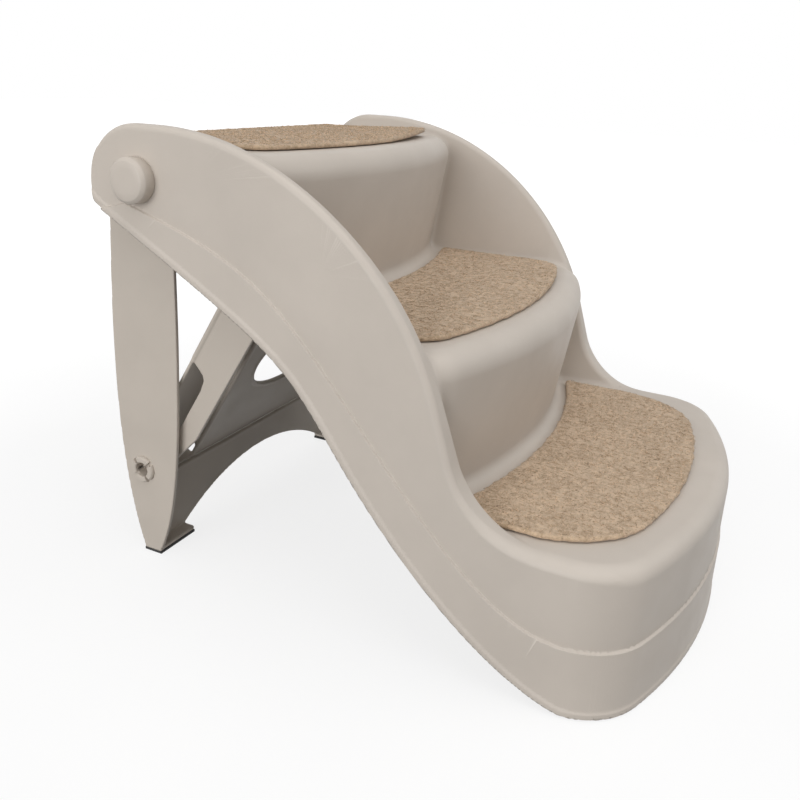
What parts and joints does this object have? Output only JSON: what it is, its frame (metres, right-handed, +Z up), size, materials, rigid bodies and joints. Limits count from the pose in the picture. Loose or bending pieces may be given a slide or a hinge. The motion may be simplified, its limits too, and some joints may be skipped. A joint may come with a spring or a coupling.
{
  "type": "pet stairs",
  "caption": "Folding pet stairs: moulded shell with high swept side walls and carpeted treads, a hinged rear leg frame and a hooked brace.",
  "frame": {"origin": "middle of the object's underside, on the floor", "axes": "+X across the steps, +Y the way the steps climb, +Z up"},
  "size_m": [0.421, 0.51, 0.39],
  "materials": {
    "shell_plastic": "fine moulded grain, greige",
    "leg_plastic": "fine moulded grain, greige",
    "carpet": "needle-felt carpet, mottled tan",
    "hook_tape": "woven hook tape, dark grey",
    "rubber": "matt"
  },
  "bodies": {
    "shell": {"stair_shell": "shell_plastic", "left_pivot_pin": "shell_plastic", "right_pivot_pin": "shell_plastic", "bottom_carpet": "carpet", "middle_carpet": "carpet", "top_carpet": "carpet", "bottom_tape": "hook_tape", "middle_tape": "hook_tape", "top_tape": "hook_tape", "left_front_foot": "rubber", "right_front_foot": "rubber"},
    "leg": {"rear_leg": "leg_plastic", "left_rear_foot": "rubber", "right_rear_foot": "rubber"},
    "brace": {"brace": "leg_plastic"}
  },
  "joints": [
    {"name": "leg_fold", "type": "hinge", "parent": "shell", "child": "leg", "pos_m": [0, 0.197, 0.348], "axis": [-1, 0, 0], "range_deg": [0, 26]},
    {"name": "brace_fold", "type": "hinge", "parent": "leg", "child": "brace", "pos_m": [0, 0.228, 0.084], "axis": [-1, 0, 0], "range_deg": [0, 36.4]}
  ],
  "couplings": [
    {"joint": "brace_fold", "follows": "leg_fold", "ratio": 1.4}
  ]
}
